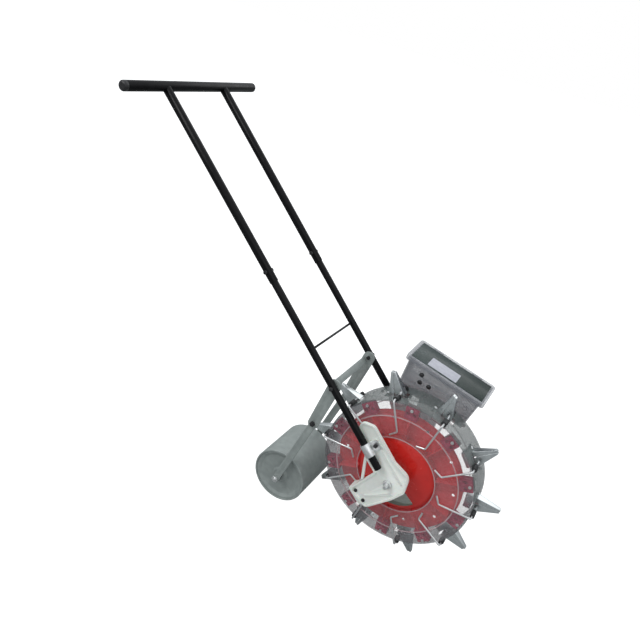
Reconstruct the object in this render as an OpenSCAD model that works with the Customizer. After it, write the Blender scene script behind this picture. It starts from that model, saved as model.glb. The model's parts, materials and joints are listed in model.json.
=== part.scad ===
// Push seeder: a ten-mouth duckbill seed drum, driven along by a long handle,
// with a seed hopper on its far side and a press roller behind it.
// +X is the way it travels, +Y points to the hopper side, +Z is up. The floor is z = 0
// and the origin is under the middle of the whole machine.

/* [Seed drum] */
// Radius over the duckbill tips
tip_r = 266; // [262:1:268]
// Outer radius of the clear rim
rim_r = 206; // [202:1:207]
// Half of the rim's width
rim_half = 44; // [42:1:46]
// Turn of the drum at rest, as the angle of one duckbill from straight ahead
phase = 4.6; // [3:0.1:6]
// Thickness of the clear plastic walls
clear_t = 2; // [1.6:0.2:2.4]

/* [Duckbills] */
// Half of a duckbill's width along the axle
bill_half = 12; // [10:0.5:12.5]
// Half of its width at the tip
tip_half = 5.5; // [5:0.5:8]
// Thickness of the jaw sheet
sheet_t = 2; // [1.5:0.1:2.2]
// Width of each closed tip, from its back corner to its front corner
tip_w = 11; // [9:0.5:12]
// Diameter of the wire that the levers are bent from
wire_d = 5; // [4:0.5:5.5]

/* [Axle] */
// Diameter of the axle
axle_d = 12; // [10:1:14]
// Half of the axle's length
axle_half = 116; // [112:1:120]

/* [Handle] */
// Rise of the handle tubes from level
handle_lift = 41.3; // [40:0.1:43]
// Distance along the handle from the axle to the grip bar
handle_len = 1116; // [1000:2:1200]
// Distance between the two handle tubes, centre to centre
tube_span = 222; // [220:1:226]
// Outer diameter of the lower tubes
lower_d = 19; // [18:0.5:19]
// Outer diameter of the upper tubes
upper_d = 22; // [21.5:0.5:23]
// Length of the grip bar
bar_len = 505; // [460:5:560]
// Diameter of the grip bar
bar_d = 25; // [24:1:27]

/* [Press roller] */
// Radius of the roller
roller_r = 80; // [76:1:80]
// Half of the roller's length
roller_half = 82; // [76:1:82]
// Distance of the roller's centre behind the axle
roller_back = 300; // [299:1:306]

/* [Hopper] */
// Length of the lid
lid_len = 228; // [220:1:232]
// Width of the lid
lid_w = 114; // [110:1:116]
// Height of the box under the lid
box_h = 92; // [84:1:96]
// Forward lean of the box
hopper_lean = 9.4; // [6:0.2:10]

/* [Hidden] */
$fn = 48;

// handle frame: tube axes pass this far above the axle
tube_rise = 8.4;
bills = 10;
pitch = 360 / bills;
run_gap = 0.05; // radial clearance of every running fit
slack = 0.3; // gap between faces that pass each other

// the standing duckbill is the fourth one on from the leading one, turning backwards
stand_turn = 90 - (3 * pitch - phase);
stand_lean = abs(stand_turn);
axle_z = tip_r * cos(stand_lean) + tip_w / 2 * sin(stand_lean);
bar_x = -handle_len * cos(handle_lift) + tube_rise * sin(handle_lift);
front_x = tip_r * cos(phase) + tip_w / 2 * sin(phase);
axle_x = -(bar_x - bar_d / 2 + front_x) / 2;

tube_y = tube_span / 2;
tube_foot = 50; // distance along the handle where the lower tubes start
splice = 577; // where the upper tubes start
splice_lap = 70; // how far the lower tubes run up inside them
tie_at = 388;
cross_at = 281; // roller frame bolts
clamp_at = 104; // sleeves that hold the lower tubes
clamp_half = 17;
clamp_bolt = 20; // their bolts, above the tube axes
sleeve_t = 3.5; // wall of their sleeves

// bracket plates
plate_in = 91;
plate_t = 5;
plate_rim = 4;
plate_out = plate_in + plate_t;
nut_out = plate_out + 8;
bracket_outline = [[-41, 13], [-84, -62], [-84, -77], [-36, -101], [-24, -92], [24, -36],
                   [47, 0], [46, 50], [0, 70], [-78, 138], [-112, 134], [-116, 112], [-76, 42]];
bracket_round = [6, 6, 8, 8, 6, 30, 18, 26, 10, 14, 14, 8, 6];
cam_holes = [[-72, -69], [-45, -86]];

// duckbill: built pointing up, front side towards +X
pin_at = [18, 210.5]; // where the moving jaw hinges, just over the rim
back_foot = 14; // half width of the duckbill's foot behind its centre line
front_foot = 26; // and ahead of it
lever_foot = [20, 127]; // bend of the lever's hook
hook_end = [-2, 117];
near_block = [-44, -24]; // bearing blocks on the rim, along the axle
far_block = [16, 26];
funnel_foot = 178; // radius of the seed funnels' open ends
funnel_top = 196; // and of their front walls' other ends
wire_y = -56;
bend_swell = 0.3; // the wire is a little thicker where it is bent
jaw_screw = -21; // screw that holds a fixed jaw's tab, behind the centre line

// drum walls, as radii and places along the axle
step_r = 168;
port_front = 36; // how far the rim's ports reach ahead of the duckbills
tab_top = 201.2; // upper face of the fixed jaws' tabs, under the rim
window_r = 106;
cell_r = window_r + clear_t + slack; // where the seed cells' walls start
annulus_y = rim_half + 8;
hub_r = 24;
hub_half = 54;
bearing_r = 14;
bearing_w = 8;
dome_r = 104;
web_y = -24;
web_r = 172;
feed_r = 86;

// roller frame
pivot = [-235, 56];
side_y = [97, 101];
arm_y = [92.7, 96.7];
roller_at = [-roller_back, roller_r - axle_z];
pivot_d = 8;
roller_axle_d = 10;

// hopper, about the middle of the lid's underside
hopper_at = [13, 112, 250];
box_l = [208, 196]; // length at the top and at the floor
box_w = [102, 94];
wall_t = 2.5;
lid_h = 14;
hinge_at = [lid_w / 2 + 4.5, -10.5]; // lid hinge pin, along the hopper's Y and Z
knuckle_r = 4;
throat = [[-30, 30], [60, 86]]; // chute, along X and along Y

// ---- helpers -------------------------------------------------------------

// puts a shape made about the axle in its place on the machine
module on_axle() translate([axle_x, 0, axle_z]) children();

// a flat shape drawn in X and Z, from one place along Y to another
module slab(y0, y1) translate([0, y1, 0]) rotate([90, 0, 0]) linear_extrude(y1 - y0) children();

// a section of radius and Y, turned about the axle
module turned(fn = 96) rotate([-90, 0, 0]) rotate_extrude($fn = fn) children();

// a round bar along Y
module bar_y(r, y0, y1, at = [0, 0]) {
    translate([at[0], y0, at[1]]) rotate([-90, 0, 0]) cylinder(r = r, h = y1 - y0);
}

// a tube along Y
module ring_y(r_in, r_out, y0, y1, at = [0, 0]) {
    difference() {
        bar_y(r_out, y0, y1, at);
        bar_y(r_in, y0 - 1, y1 + 1, at);
    }
}

// a six-sided nut or bolt head along Y
module hex_y(across, y0, y1, at = [0, 0]) {
    translate([at[0], y0, at[1]]) rotate([-90, 0, 0]) cylinder(d = across / cos(30), h = y1 - y0, $fn = 6);
}

// the near side and its mirror image on the far side
module both_sides() {
    children();
    mirror([0, 1, 0]) children();
}

// handle frame: +X runs up the tubes, +Z is the handle's upper side, x = 0 is beside the axle
module along_handle() mirror([1, 0, 0]) rotate([0, -handle_lift, 0]) translate([0, 0, tube_rise]) children();

// a tube that runs up the handle
module handle_tube(r_in, r_out, s0, s1) {
    rotate([0, 90, 0]) difference() {
        translate([0, 0, s0]) cylinder(r = r_out, h = s1 - s0);
        translate([0, 0, s0 - 1]) cylinder(r = r_in, h = s1 - s0 + 2);
    }
}

// a point of the drum's duckbill frame, turned to duckbill k
module at_bill(k) rotate([0, 90 - phase + (k - 1) * pitch, 0]) children();

// the corner of a polygon moved inwards by d (points run anticlockwise)
function unit(v) = v / norm(v);
function left(v) = [-v[1], v[0]];
function cross2(a, b) = a[0] * b[1] - a[1] * b[0];
function moved(a, b, c, d) =
    let (u = unit(b - a), v = unit(c - b), k = cross2(u, v))
    abs(k) < 0.001 ? b + d * left(u) : b + d * (u - v) * (-1 / k);
function inset(pts, d) =
    let (n = len(pts))
    [for (i = [0:n - 1]) moved(pts[(i + n - 1) % n], pts[i], pts[(i + 1) % n], d)];

// a polygon with each corner rounded to its own radius
function arc_at(a, b, c, r, n) =
    let (u = unit(a - b), v = unit(c - b), half = acos(u * v) / 2,
         mid = b + unit(u + v) * r / sin(half),
         from = b + u * r / tan(half), to = b + v * r / tan(half),
         turn = cross2(v, u) > 0 ? 1 : -1,
         start = atan2(from[1] - mid[1], from[0] - mid[0]), sweep = (180 - 2 * half) * turn)
    [for (i = [0:n]) mid + r * [cos(start + sweep * i / n), sin(start + sweep * i / n)]];
function rounded(pts, radii, n = 5) =
    let (m = len(pts))
    [for (i = [0:m - 1]) each arc_at(pts[(i + m - 1) % m], pts[i], pts[(i + 1) % m], radii[i], n)];

// ---- wheel brackets and axle ----------------------------------------------

module bracket_plate() {
    edge = rounded(bracket_outline, bracket_round);
    bore = axle_d / 2;
    difference() {
        union() {
            slab(-plate_out, -plate_in) polygon(edge);
            slab(-plate_out - plate_rim, -plate_out) difference() {
                polygon(edge);
                polygon(rounded(inset(bracket_outline, 4), [for (r = bracket_round) max(r - 4, 2)]));
            }
            // boss that spaces the plate off the drum, and a raised pad under the nut
            bar_y(16, -plate_in, -62);
            bar_y(9, -plate_in, -hub_half - slack);
            // ribs along both arms
            slab(-plate_out - 2, -plate_out) polygon([[30, 16], [34, 20], [-66, 106], [-70, 102]]);
            slab(-plate_out - 2, -plate_out) polygon([[16, -22], [20, -26], [-44, -72], [-48, -68]]);
            // strut that ties the two arms together across the window
            slab(-plate_out, -plate_in) polygon([[-79, 38], [-72, 38], [-62, -30], [-69, -30]]);
        }
        bar_y(bore, -plate_out - 9, -50);
        bar_y(13, -plate_out - 9, -plate_out);
        for (h = cam_holes) bar_y(3, -plate_out - 9, -plate_in + 1, h);
        clamp_hole();
        clamp_seat();
    }
}

// room in the rim and ribs for the clamp's sleeve and lug
module clamp_seat() along_handle() {
    translate([clamp_at - clamp_half - 1, -tube_y, 0]) rotate([0, 90, 0])
        cylinder(r = lower_d / 2 + sleeve_t + slack, h = 2 * clamp_half + 2);
    translate([clamp_at - 13.5, -plate_out - 5, -1]) cube([27, 5, clamp_bolt + 14]);
}

// hole for the clamp bolt, in line with the clamp's lug
module clamp_hole() along_handle() translate([clamp_at, -plate_out - 9, clamp_bolt])
    rotate([-90, 0, 0]) cylinder(r = 3, h = 20);

module near_bracket() color("ivory") on_axle() bracket_plate();
module far_bracket() color("ivory") on_axle() mirror([0, 1, 0]) bracket_plate();

// cam block on the near bracket's lower arm, set back clear of the passing hooks
module trip_cam() color("ivory") on_axle() difference() {
    slab(-plate_in, -60) polygon(rounded([[-96, -78], [-52, -114], [-30, -86], [-70, -54]], [6, 9, 9, 6]));
    for (h = cam_holes) bar_y(3, -plate_in - 1, -59, h);
}

// its ends are turned down past the nuts, as studs that carry accessories
module axle() color("silver") on_axle() {
    bar_y(axle_d / 2, -nut_out, nut_out);
    both_sides() bar_y(axle_d / 2 - 1, -axle_half, -nut_out);
}

module axle_nuts() color("silver") on_axle() both_sides() difference() {
    union() {
        hex_y(19, -nut_out, -plate_out - 1.5);
        bar_y(12, -plate_out - 1.5, -plate_out);
    }
    bar_y(axle_d / 2, -nut_out - 1, -plate_out + 1);
}

// ---- handle ----------------------------------------------------------------

module lower_tube() along_handle() translate([0, -tube_y, 0]) difference() {
    handle_tube(lower_d / 2 - 1.5, lower_d / 2, tube_foot, splice + splice_lap);
    cross_hole(cross_at, 3);
    cross_hole(splice + 30, 3);
    translate([tie_at, 0, 0]) rotate([-90, 0, 0]) cylinder(r = 3, h = 30);
}

// hole across a handle tube, along Y
module cross_hole(s, r) translate([s, 0, 0]) rotate([90, 0, 0]) cylinder(r = r, h = 60, center = true);

module upper_tube() along_handle() translate([0, -tube_y, 0]) difference() {
    handle_tube(lower_d / 2 + run_gap, upper_d / 2, splice, handle_len);
    cross_hole(splice + 30, 3);
    translate([handle_len, 0, 0]) rotate([90, 0, 0]) cylinder(d = bar_d, h = 60, center = true);
}

module near_lower_tube() color("black") on_axle() lower_tube();
module far_lower_tube() color("black") on_axle() mirror([0, 1, 0]) lower_tube();
module near_upper_tube() color("black") on_axle() upper_tube();
module far_upper_tube() color("black") on_axle() mirror([0, 1, 0]) upper_tube();

module handlebar() color("black") on_axle() along_handle() translate([handle_len, 0, 0])
    ring_y(bar_d / 2 - 1.5, bar_d / 2, -bar_len / 2 + 12, bar_len / 2 - 12);

// rounded plugs in the ends of the grip bar
module bar_end_caps() color("black") on_axle() along_handle() translate([handle_len, 0, 0]) both_sides()
    translate([0, -bar_len / 2 + 12, 0]) rotate([90, 0, 0]) rotate_extrude() union() {
        translate([0, -16]) square([bar_d / 2 - 1.5, 16]);
        square([bar_d / 2, 6]);
        translate([0, 6]) square([bar_d / 2 - 6, 6]);
        intersection() {
            translate([bar_d / 2 - 6, 6]) circle(r = 6);
            translate([bar_d / 2 - 6, 6]) square(6);
        }
    }

module tie_rod() color("black") on_axle() along_handle() translate([tie_at, 0, 0])
    bar_y(3, -tube_y, tube_y);

// split sleeve round each lower tube with a lug bolted to the bracket
module handle_clamp() along_handle() difference() {
    union() {
        translate([0, -tube_y, 0])
            handle_tube(lower_d / 2, lower_d / 2 + sleeve_t, clamp_at - clamp_half, clamp_at + clamp_half);
        translate([clamp_at - 13, -plate_out - 4, 0]) cube([26, 4, clamp_bolt + 12]);
    }
    translate([0, -tube_y, 0]) rotate([0, 90, 0]) cylinder(d = lower_d, h = 2 * clamp_at);
    translate([clamp_at, -plate_out - 9, clamp_bolt]) rotate([-90, 0, 0]) cylinder(r = 3, h = 20);
}

module handle_clamps() color("silver") on_axle() both_sides() handle_clamp();

// one bolt along Y with its head on the near end
module bolt_y(r, y0, y1, at, head) {
    bar_y(r, y0, y1, at);
    hex_y(head, y0 - r * 1.4, y0, at);
    hex_y(head, y1, y1 + r * 1.6, at);
}

// where a bolt across the handle sits, in the plane of the wheel
function on_handle(s, n) = [-s * cos(handle_lift) + (n + tube_rise) * sin(handle_lift),
                            s * sin(handle_lift) + (n + tube_rise) * cos(handle_lift)];

module frame_bolts() color("dimgray") on_axle() {
    both_sides() side_bolts();
    // the trip cam's two screws end flush with its face
    for (h = cam_holes) {
        bar_y(3, -plate_out, -60, h);
        hex_y(9, -plate_out - 3.5, -plate_out, h);
    }
}

module side_bolts() {
    // splice of the upper and lower tubes
    bolt_y(3, -tube_y - upper_d / 2, -tube_y + upper_d / 2, on_handle(splice + 30, 0), 10);
    // side plate to tube
    bolt_y(3, -tube_y - lower_d / 2, -side_y[0], on_handle(cross_at, 0), 10);
    // pivot of the roller arm
    bolt_y(pivot_d / 2, -side_y[1], -arm_y[0] + slack, pivot, 13);
    // clamp lug to bracket
    bolt_y(3, -plate_out - 4, -plate_in, on_handle(clamp_at, clamp_bolt), 10);
}

// ---- roller frame -----------------------------------------------------------

module roller_crossbar() color("slategray") on_axle() along_handle()
    translate([cross_at - 9, -side_y[0], -lower_d / 2 - 5]) cube([18, 2 * side_y[0], 4]);

module side_plate() {
    top = on_handle(cross_at, 0);
    difference() {
        slab(-side_y[1], -side_y[0]) union() {
            translate(top) circle(r = 17);
            translate(pivot) circle(r = 15);
            polygon(strap(top, pivot, 17, 15));
        }
        bar_y(3, -side_y[1] - 1, -side_y[0] + 1, top);
        bar_y(pivot_d / 2, -side_y[1] - 1, -side_y[0] + 1, pivot);
    }
}

// the four corners of a strap whose ends are circles
function strap(a, b, ra, rb) =
    let (u = unit(b - a), w = left(u), k = (ra - rb) / norm(b - a), m = sqrt(1 - k * k))
    [a + ra * (k * u + m * w), a + ra * (k * u - m * w), b + rb * (k * u - m * w), b + rb * (k * u + m * w)];

module side_plates() color("slategray") on_axle() both_sides() side_plate();

module roller_arm() difference() {
    slab(-arm_y[1], -arm_y[0]) union() {
        translate(pivot) circle(r = 11);
        translate(roller_at) circle(r = 11);
        polygon(strap(pivot, roller_at, 10, 10));
    }
    bar_y(pivot_d / 2 + run_gap, -arm_y[1] - 1, -arm_y[0] + 1, pivot);
    bar_y(roller_axle_d / 2, -arm_y[1] - 1, -arm_y[0] + 1, roller_at);
}

module near_roller_arm() color("slategray") on_axle() roller_arm();
module far_roller_arm() color("slategray") on_axle() mirror([0, 1, 0]) roller_arm();

module roller_axle() color("silver") on_axle() bar_y(roller_axle_d / 2, -108, 108, roller_at);

module roller_nuts() color("silver") on_axle() both_sides() difference() {
    hex_y(17, -arm_y[1] - 7, -arm_y[1], roller_at);
    bar_y(roller_axle_d / 2, -120, -80, roller_at);
}

module roller_shell() color("lightslategray") on_axle()
    ring_y(roller_r - 2, roller_r, -roller_half, roller_half, roller_at);

module roller_end_caps() color("lightslategray") on_axle() both_sides()
    ring_y(9, roller_r - 2, -roller_half + 3, -roller_half + 5, roller_at);

module roller_bushes() color("dimgray") on_axle() both_sides()
    ring_y(roller_axle_d / 2 + run_gap, 9, -arm_y[0] + slack, -roller_half + 20, roller_at);

// ---- hopper -----------------------------------------------------------------

// hopper frame: its middle under the lid, leaning forward with the box
module on_hopper() translate([hopper_at[0], hopper_at[1], hopper_at[2]]) rotate([0, hopper_lean, 0]) children();

// a straight-sided frustum with its top at z = 0
module frustum(top, foot, h) {
    a = [for (s = [[1, 1], [-1, 1], [-1, -1], [1, -1]]) [s[0] * top[0] / 2, s[1] * top[1] / 2, 0]];
    b = [for (s = [[1, 1], [-1, 1], [-1, -1], [1, -1]]) [s[0] * foot[0] / 2, s[1] * foot[1] / 2, -h]];
    polyhedron(concat(a, b), [[3, 2, 1, 0], [4, 5, 6, 7], [0, 1, 5, 4], [1, 2, 6, 5], [2, 3, 7, 6], [3, 0, 4, 7]]);
}

module hopper_body() color("gainsboro", 0.5) on_axle() difference() {
    on_hopper() {
        frustum([box_l[0], box_w[0]], [box_l[1], box_w[1]], box_h);
        translate([0, 0, -4]) linear_extrude(4) square([box_l[0] + 8, box_w[0] + 8], center = true);
        for (x = [-84, 84]) body_knuckle(x);
    }
    on_hopper() translate([0, 0, 0.01]) frustum([box_l[0] - 2 * wall_t, box_w[0] - 2 * wall_t],
                          [box_l[1] - 2 * wall_t, box_w[1] - 2 * wall_t], box_h - wall_t);
    // outlet in the floor
    on_hopper() translate([throat[0][0] + 6, throat[1][0] + 7 - hopper_at[1], -box_h - 1])
        cube([throat[0][1] - throat[0][0] - 12, 16, wall_t + 2]);
}

// ear on the hopper's far wall that holds the lid's hinge pin
module body_knuckle(x) difference() {
    union() {
        translate([x - 8, box_w[0] / 2 - 3, hinge_at[1] - 3]) cube([16, hinge_at[0] - box_w[0] / 2 + 3, 6]);
        hinge_bar(knuckle_r, x - 8, x + 8);
    }
    hinge_bar(2, x - 9, x + 9);
}

// a round bar on the lid's hinge line, in the hopper frame
module hinge_bar(r, x0, x1) translate([x0, hinge_at[0], hinge_at[1]])
    rotate([0, 90, 0]) cylinder(r = r, h = x1 - x0);

// duct from the hopper's floor down and through the drum's feed opening
module seed_chute() color("gainsboro", 0.6) on_axle() difference() {
    chute_solid(0);
    chute_solid(wall_t);
    // the mouth inside the drum
    translate([throat[0][0] + wall_t, 27, 34 + wall_t]) cube([55, 10, 44 - 2 * wall_t]);
}

// outer form of the chute, or its hollow when d is the wall
module chute_solid(d) {
    top = hopper_at[2] - box_h * cos(hopper_lean);
    difference() {
        translate([throat[0][0] + d, throat[1][0] + d, 34 + d])
            cube([60 - 2 * d, 26 - 2 * d, top - 34 + 40]);
        on_hopper() translate([-200, -100, -box_h]) cube([400, 200, 200]);
    }
    translate([throat[0][0] + d, 30 + d, 34 + d]) cube([60 - 2 * d, 40, 44 - 2 * d]);
}

// steel strap from the far bracket's arm up to the hopper floor
module hopper_stay() color("slategray") on_axle() difference() {
    union() {
        slab(plate_in - 4, plate_in) polygon([[-98, 96], [-70, 120], [-58, 150], [-96, 150]]);
        slab(plate_in - 4, plate_in) polygon([[-98, 140], [-56, 140], [-56, 190], [-98, 190]]);
    }
    on_hopper() translate([-200, -100, -box_h]) cube([400, 200, 200]);
}

// hinge rod along the lid's far edge
module hinge_pin() color("silver") on_axle() on_hopper() hinge_bar(2, -96, 96);

module hopper_lid() color("lightgray", 0.5) on_axle() on_hopper() {
    difference() {
        union() {
            translate([0, 0, -6]) linear_extrude(lid_h)
                polygon(rounded([[-lid_len / 2, -lid_w / 2], [lid_len / 2, -lid_w / 2],
                                 [lid_len / 2, lid_w / 2], [-lid_len / 2, lid_w / 2]], [10, 10, 10, 10]));
            for (x = [-60, 60]) {
                hinge_bar(knuckle_r, x - 15, x + 15);
                translate([x - 15, lid_w / 2 - 1, hinge_at[1]]) cube([30, hinge_at[0] - lid_w / 2 + 1, 15]);
            }
        }
        translate([0, 0, -7]) linear_extrude(7 + slack)
            square([box_l[0] + 8 + 2 * slack, box_w[0] + 8 + 2 * slack], center = true);
        translate([0, 0, -1]) linear_extrude(lid_h - 8)
            square([lid_len - 2 * wall_t - 10, lid_w - 2 * wall_t - 10], center = true);
        hinge_bar(2 + run_gap, -100, 100);
    }
}

// ---- drum -------------------------------------------------------------------

// clear rim with a port for each duckbill
module drum_band() color("mistyrose", 0.4) on_axle() difference() {
    ring_y(rim_r - 3, rim_r, -rim_half, rim_half);
    for (k = [1:bills]) at_bill(k) {
        translate([-back_foot - slack, -bill_half - 2, rim_r - 30])
            cube([back_foot + slack + port_front, 2 * bill_half + 4, 50]);
        translate([jaw_screw, 0, rim_r - 20]) cylinder(r = 2, h = 40);
    }
}

// black blocks on the rim, two for each duckbill, that its hinge pin turns in
module hinge_blocks() color("black") on_axle() for (k = [1:bills]) at_bill(k) {
    hinge_block(near_block);
    hinge_block(far_block);
}

module hinge_block(y) difference() {
    slab(y[0], y[1]) translate(pin_at)
        polygon(rounded([[-7, -8], [7, -8], [7, 2], [4.5, 5.5], [-4.5, 5.5], [-7, 2]], [0.5, 0.5, 2, 2, 2, 2]));
    bar_y(rim_r + run_gap, -rim_half - 1, rim_half + 1, $fn = 192);
    bar_y(wire_d / 2 + run_gap, -rim_half - 1, rim_half + 1, pin_at);
}

// stepped clear disc; its central hole has a lip turned inwards
module cover_profile(hole_r) {
    y0 = rim_half;
    y1 = annulus_y;
    polygon([[rim_r, y0], [rim_r, y0 + clear_t], [step_r + 2, y0 + clear_t], [step_r - 2, y1],
             [hole_r, y1], [hole_r, y1 - 5], [hole_r + clear_t, y1 - 5], [hole_r + clear_t, y1 - clear_t],
             [step_r - 3.2, y1 - clear_t], [step_r + 0.8, y0]]);
}

module near_cover() color("mistyrose", 0.4) on_axle() difference() {
    mirror([0, 1, 0]) turned() cover_profile(window_r);
    screw_holes();
}

module far_cover() color("mistyrose", 0.4) on_axle() difference() {
    turned() cover_profile(feed_r);
    screw_holes();
}

// two screws hold each cover between neighbouring duckbills
module screw_holes() for (k = [1:bills]) at_bill(k + 0.5) both_sides() bar_y(2, -60, -30, [0, rim_r - 12]);

// the covers' screws, and one through the rim into the tab of each fixed jaw
module drum_screws() color("silver") on_axle() {
    for (k = [1:bills]) at_bill(k + 0.5) both_sides() {
        bar_y(2, -rim_half - clear_t, -rim_half + 1.9, [0, rim_r - 12]);
        bar_y(4, -rim_half - clear_t - 2.4, -rim_half - clear_t, [0, rim_r - 12]);
    }
    for (k = [1:bills]) at_bill(k) translate([jaw_screw, 0, tab_top - 6]) {
        cylinder(r = 2, h = rim_r - tab_top + 6);
        translate([0, 0, rim_r - tab_top + 5.2]) cylinder(r = 4, h = 2);
    }
}

// the red wheel: a dome round the hub
module seed_wheel() color("crimson") on_axle() difference() {
    turned() dome_profile();
    slab(-70, web_y - 1) window_sector(0);
}

// the web behind the seed cells, with the wall of each cell and its pick-up hole
module seed_cells() color("crimson") on_axle() difference() {
    union() {
        turned() translate([dome_r, web_y]) square([web_r - dome_r, 2.5]);
        for (k = [1:bills]) at_bill(k + 0.5)
            translate([-1.2, -annulus_y + clear_t + slack, cell_r])
                cube([2.4, annulus_y - clear_t - slack + web_y + 1, step_r - 6 - cell_r]);
    }
    for (k = [1:bills]) at_bill(k) bar_y(4, web_y - 1, web_y + 4, [0, 150]);
}

// section of the dome
module dome_profile() polygon([
    [hub_r, -54], [60, -53.4], [92, -50.5], [dome_r, -45], [dome_r, web_y + 2.5],
    [dome_r - 3, web_y + 2.5], [dome_r - 3, -43.4], [90.6, -47.8], [60, -50.4], [hub_r, -51]]);

// the sector of the dome that opens for cleaning, drawn in X and Z
module window_sector(gap) intersection() {
    difference() {
        circle(r = 90 - gap, $fn = 96);
        circle(r = 42 + gap, $fn = 96);
    }
    polygon([[0, 0], 200 * [cos(-38 - gap), sin(-38 - gap)], 200 * [cos(-98 + gap), sin(-98 + gap)]]);
}

module inspection_window() color("darkseagreen", 0.6) on_axle() intersection() {
    turned() dome_profile();
    slab(-70, web_y - 1) window_sector(0.3);
}

module gate_blocks() color("crimson") on_axle() for (k = [1:bills]) at_bill(k + 0.5) difference() {
    translate([-17, -rim_half + slack, 167]) cube([34, rim_half - slack + web_y, 33]);
    bar_y(2, -60, -30, [0, rim_r - 12]);
    bar_y(5, -60, -36, [-9, 182]);
    bar_y(5, -60, -36, [9, 182]);
}

module wheel_hub() color("crimson") on_axle() difference() {
    union() {
        bar_y(hub_r, -hub_half, hub_half);
        bar_y(40, -50.7, -48.5);
    }
    bar_y(10, -60, 60);
    both_sides() bar_y(bearing_r, -hub_half - 1, -hub_half + bearing_w);
}

module bearings() color("silver") on_axle() both_sides()
    ring_y(axle_d / 2 + run_gap, bearing_r, -hub_half, -hub_half + bearing_w);

// ---- duckbills ----------------------------------------------------------------

// keeps what lies between a duckbill's tapering sides, moved in by d
module tapered(d) intersection() {
    children();
    rotate([90, 0, 90]) linear_extrude(80, center = true)
        polygon([[-bill_half + d, 0], [bill_half - d, 0], [bill_half - d, rim_r], [tip_half - d, tip_r],
                 [-tip_half + d, tip_r], [-bill_half + d, rim_r]]);
}

// back half of a duckbill: side plates and back wall, with a seed funnel that reaches into the drum
module fixed_jaw() {
    half = slack / 2;
    outline = [[-back_foot, funnel_foot], [front_foot, funnel_foot], [front_foot, funnel_top], [-half, funnel_top],
               [-half, tip_r], [-tip_w / 2, tip_r], [-back_foot, rim_r]];
    inner = [[-back_foot + sheet_t, funnel_foot - 1], [front_foot - sheet_t, funnel_foot - 1],
             [front_foot - sheet_t, funnel_top + 1], [1, funnel_top + 1], [1, tip_r - 6],
             [-tip_w / 2 + sheet_t, tip_r - 6], [-back_foot + sheet_t, rim_r]];
    difference() {
        union() {
            tapered(0) slab(-bill_half, bill_half) polygon(outline);
            // tab bent back under the rim
            translate([jaw_screw - 6, -bill_half, tab_top - sheet_t])
                cube([-jaw_screw + 7 - back_foot, 2 * bill_half, sheet_t]);
        }
        tapered(sheet_t) slab(-bill_half, bill_half) polygon(inner);
        translate([jaw_screw, 0, tab_top - 10]) cylinder(r = 2, h = 20);
    }
}

module fixed_jaws() color("silver") on_axle() for (k = [1:bills]) at_bill(k) fixed_jaw();

// front half: swings on the lever's pin, its back edge cut away where it passes the fixed jaw
module moving_jaw() {
    top = tip_r - 1.5;
    half = slack / 2;
    outline = [[2.5, rim_r - 2], [front_foot + 1, rim_r - 2], [front_foot + 1, rim_r], [tip_w / 2, top],
               [half, top], [half, rim_r + 7], [2.5, rim_r + 5]];
    inner = [[-1, rim_r - 20], [front_foot + 1 - sheet_t, rim_r - 20], [front_foot + 1 - sheet_t, rim_r],
             [tip_w / 2 - sheet_t, top - 6], [-1, top - 6]];
    difference() {
        tapered(0) slab(-bill_half, bill_half) polygon(outline);
        tapered(sheet_t) slab(-bill_half, bill_half) polygon(inner);
        bar_y(wire_d / 2, -30, 30, pin_at);
    }
}

module jaw(k) color("silver") on_axle() at_bill(k) moving_jaw();

// a straight piece of wire between two points
module wire(a, b) {
    d = b - a;
    translate(a) rotate([0, acos(d[2] / norm(d)), atan2(d[1], d[0])]) cylinder(d = wire_d, h = norm(d), $fn = 24);
}

// bent wire: hinge pin along Y, a leg towards the axle and a hook at its end
module lever(k) color("silver") on_axle() at_bill(k) {
    elbow = [pin_at[0], wire_y, pin_at[1]];
    knee = [lever_foot[0], wire_y, lever_foot[1]];
    bar_y(wire_d / 2, wire_y, far_block[1], pin_at);
    translate(elbow) sphere(r = wire_d / 2 + bend_swell, $fn = 24);
    wire(elbow, knee);
    translate(knee) sphere(r = wire_d / 2 + bend_swell, $fn = 24);
    wire(knee, [hook_end[0], wire_y, hook_end[1]]);
}

near_bracket();
far_bracket();
trip_cam();
axle();
axle_nuts();
near_lower_tube();
far_lower_tube();
near_upper_tube();
far_upper_tube();
handlebar();
bar_end_caps();
tie_rod();
handle_clamps();
frame_bolts();
roller_crossbar();
side_plates();
hopper_body();
seed_chute();
hopper_stay();
hinge_pin();
hopper_lid();
near_roller_arm();
far_roller_arm();
roller_axle();
roller_nuts();
roller_shell();
roller_end_caps();
roller_bushes();
drum_band();
hinge_blocks();
near_cover();
far_cover();
seed_wheel();
seed_cells();
inspection_window();
gate_blocks();
wheel_hub();
bearings();
fixed_jaws();
drum_screws();
for (k = [1:bills]) jaw(k);
for (k = [1:bills]) lever(k);
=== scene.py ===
# %% [markdown]
# # A push seeder
# This walk-behind seeder rolls a clear plastic drum over the ground. Ten steel duckbills around the
# drum bite into the soil, and a bent-wire lever opens each one at the bottom to drop its seed.
# The engineering model is loaded first, as a frame that never moves. Everything modelled here sits
# on that frame, in metres, so no piece has to be fitted by eye.

# %% Load the frame
import bpy
import json
from math import cos, hypot, pi, radians, sin, tan
from mathutils import Matrix, Vector


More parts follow.
